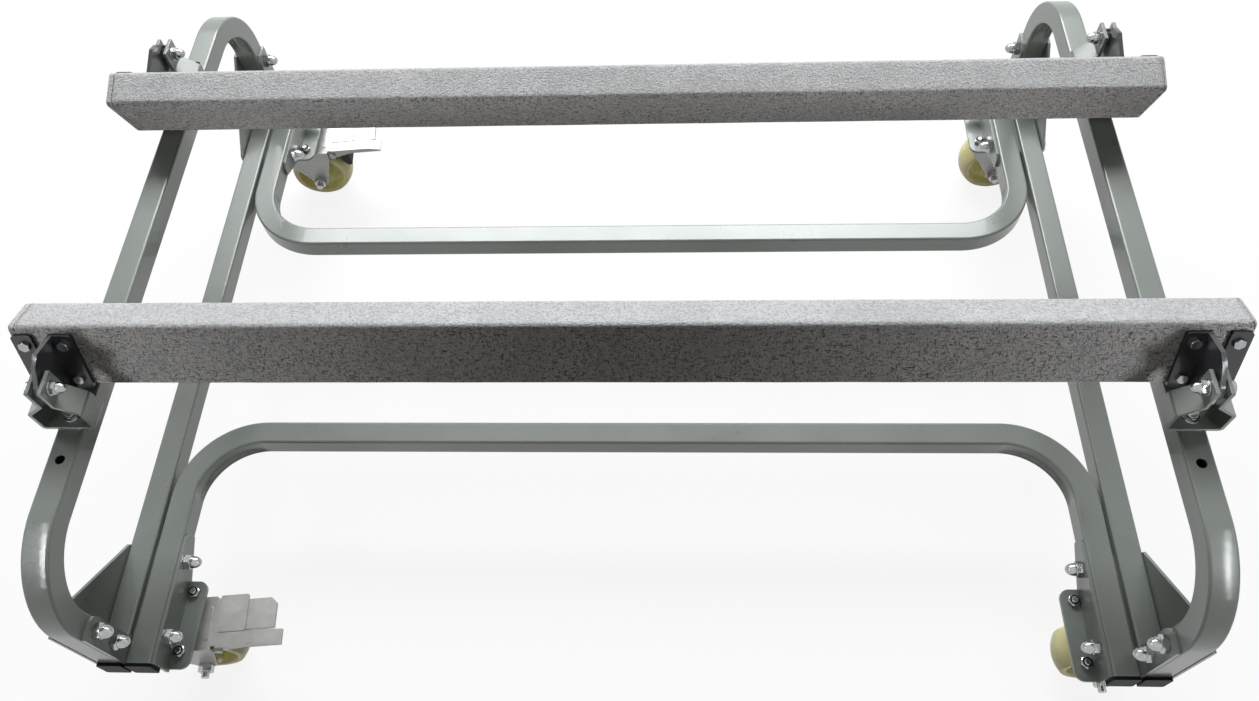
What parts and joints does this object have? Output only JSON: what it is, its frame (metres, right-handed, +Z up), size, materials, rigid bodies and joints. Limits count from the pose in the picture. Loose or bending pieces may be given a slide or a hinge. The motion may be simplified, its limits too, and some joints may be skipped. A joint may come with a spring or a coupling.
{
  "type": "personal watercraft dolly",
  "caption": "Low wheeled dolly of bent square tube with two carpeted bunks on pivoting brackets and swivel casters, some with brakes, for moving a personal watercraft.",
  "frame": {"origin": "on the floor under the middle of the dolly", "axes": "+X along the bunks to the side without brakes, +Y from front to rear across the bunks, +Z up"},
  "size_m": [1.28, 0.928, 0.4726],
  "materials": {
    "frame_paint": "metallic gloss",
    "bright_zinc": "bright",
    "zinc_steel": "zinc plated",
    "black_plastic": "matte",
    "cream_wheel": "satin",
    "board_timber": "sawn",
    "marine_carpet": "felted pile",
    "brake_rubber": "matte"
  },
  "bodies": {
    "frame": {"left_base_tube": "frame_paint", "right_base_tube": "frame_paint", "front_cross_tube": "frame_paint", "rear_cross_tube": "frame_paint", "left_hoop": "frame_paint", "right_hoop": "frame_paint", "front_left_gusset": "frame_paint", "front_right_gusset": "frame_paint", "rear_left_gusset": "frame_paint", "rear_right_gusset": "frame_paint", "front_left_corner_plate": "frame_paint", "front_right_corner_plate": "frame_paint", "rear_left_corner_plate": "frame_paint", "rear_right_corner_plate": "frame_paint", "front_left_caster_bracket": "frame_paint", "front_right_caster_bracket": "frame_paint", "rear_left_caster_bracket": "frame_paint", "rear_right_caster_bracket": "frame_paint", "front_left_caster_plate": "zinc_steel", "front_right_caster_plate": "zinc_steel", "rear_left_caster_plate": "zinc_steel", "rear_right_caster_plate": "zinc_steel", "front_left_saddle": "frame_paint", "front_right_saddle": "frame_paint", "rear_left_saddle": "frame_paint", "rear_right_saddle": "frame_paint", "tube_end_plugs": "black_plastic", "corner_bolts": "bright_zinc", "bracket_bolts": "bright_zinc", "caster_bolts": "bright_zinc", "caster_kingpins": "zinc_steel", "saddle_bolts": "bright_zinc", "pivot_bolts": "bright_zinc"},
    "front_bunk": {"front_bunk_board": "board_timber", "front_bunk_carpet": "marine_carpet", "front_bunk_screws": "bright_zinc", "front_left_bunk_bracket": "frame_paint", "front_right_bunk_bracket": "frame_paint"},
    "rear_bunk": {"rear_bunk_board": "board_timber", "rear_bunk_carpet": "marine_carpet", "rear_bunk_screws": "bright_zinc", "rear_left_bunk_bracket": "frame_paint", "rear_right_bunk_bracket": "frame_paint"},
    "front_left_fork": {"front_left_fork": "zinc_steel", "front_left_axle": "bright_zinc"},
    "front_left_wheel": {"front_left_wheel": "cream_wheel"},
    "front_left_brake": {"front_left_brake_pedal": "zinc_steel", "front_left_brake_shoe": "brake_rubber"},
    "front_right_fork": {"front_right_fork": "zinc_steel", "front_right_axle": "bright_zinc"},
    "front_right_wheel": {"front_right_wheel": "cream_wheel"},
    "rear_left_fork": {"rear_left_fork": "zinc_steel", "rear_left_axle": "bright_zinc"},
    "rear_left_wheel": {"rear_left_wheel": "cream_wheel"},
    "rear_left_brake": {"rear_left_brake_pedal": "zinc_steel", "rear_left_brake_shoe": "brake_rubber"},
    "rear_right_fork": {"rear_right_fork": "zinc_steel", "rear_right_axle": "bright_zinc"},
    "rear_right_wheel": {"rear_right_wheel": "cream_wheel"}
  },
  "joints": [
    {"name": "front_bunk_pivot", "type": "hinge", "parent": "frame", "child": "front_bunk", "pos_m": [0, -0.247, 0.444], "axis": [1, 0, 0], "range_deg": [0, 30]},
    {"name": "rear_bunk_pivot", "type": "hinge", "parent": "frame", "child": "rear_bunk", "pos_m": [0, 0.247, 0.444], "axis": [-1, 0, 0], "range_deg": [0, 30]},
    {"name": "front_left_swivel", "type": "hinge", "parent": "frame", "child": "front_left_fork", "pos_m": [-0.558, -0.399, 0.11], "axis": [0, 0, 1], "continuous": true},
    {"name": "front_left_roll", "type": "hinge", "parent": "front_left_fork", "child": "front_left_wheel", "pos_m": [-0.53808, -0.39726, 0.05], "axis": [-0.0872, 0.9962, 0], "continuous": true},
    {"name": "front_left_brake_press", "type": "hinge", "parent": "front_left_fork", "child": "front_left_brake", "pos_m": [-0.50221, -0.39412, 0.104], "axis": [-0.0872, 0.9962, 0], "range_deg": [0, 6]},
    {"name": "front_right_swivel", "type": "hinge", "parent": "frame", "child": "front_right_fork", "pos_m": [0.558, -0.399, 0.11], "axis": [0, 0, 1], "continuous": true},
    {"name": "front_right_roll", "type": "hinge", "parent": "front_right_fork", "child": "front_right_wheel", "pos_m": [0.578, -0.399, 0.05], "axis": [0, 1, 0], "continuous": true},
    {"name": "rear_left_swivel", "type": "hinge", "parent": "frame", "child": "rear_left_fork", "pos_m": [-0.558, 0.405, 0.11], "axis": [0, 0, 1], "continuous": true},
    {"name": "rear_left_roll", "type": "hinge", "parent": "rear_left_fork", "child": "rear_left_wheel", "pos_m": [-0.53808, 0.40674, 0.05], "axis": [-0.0872, 0.9962, 0], "continuous": true},
    {"name": "rear_left_brake_press", "type": "hinge", "parent": "rear_left_fork", "child": "rear_left_brake", "pos_m": [-0.50221, 0.40988, 0.104], "axis": [-0.0872, 0.9962, 0], "range_deg": [0, 6]},
    {"name": "rear_right_swivel", "type": "hinge", "parent": "frame", "child": "rear_right_fork", "pos_m": [0.558, 0.405, 0.11], "axis": [0, 0, 1], "continuous": true},
    {"name": "rear_right_roll", "type": "hinge", "parent": "rear_right_fork", "child": "rear_right_wheel", "pos_m": [0.578, 0.405, 0.05], "axis": [0, 1, 0], "continuous": true}
  ]
}
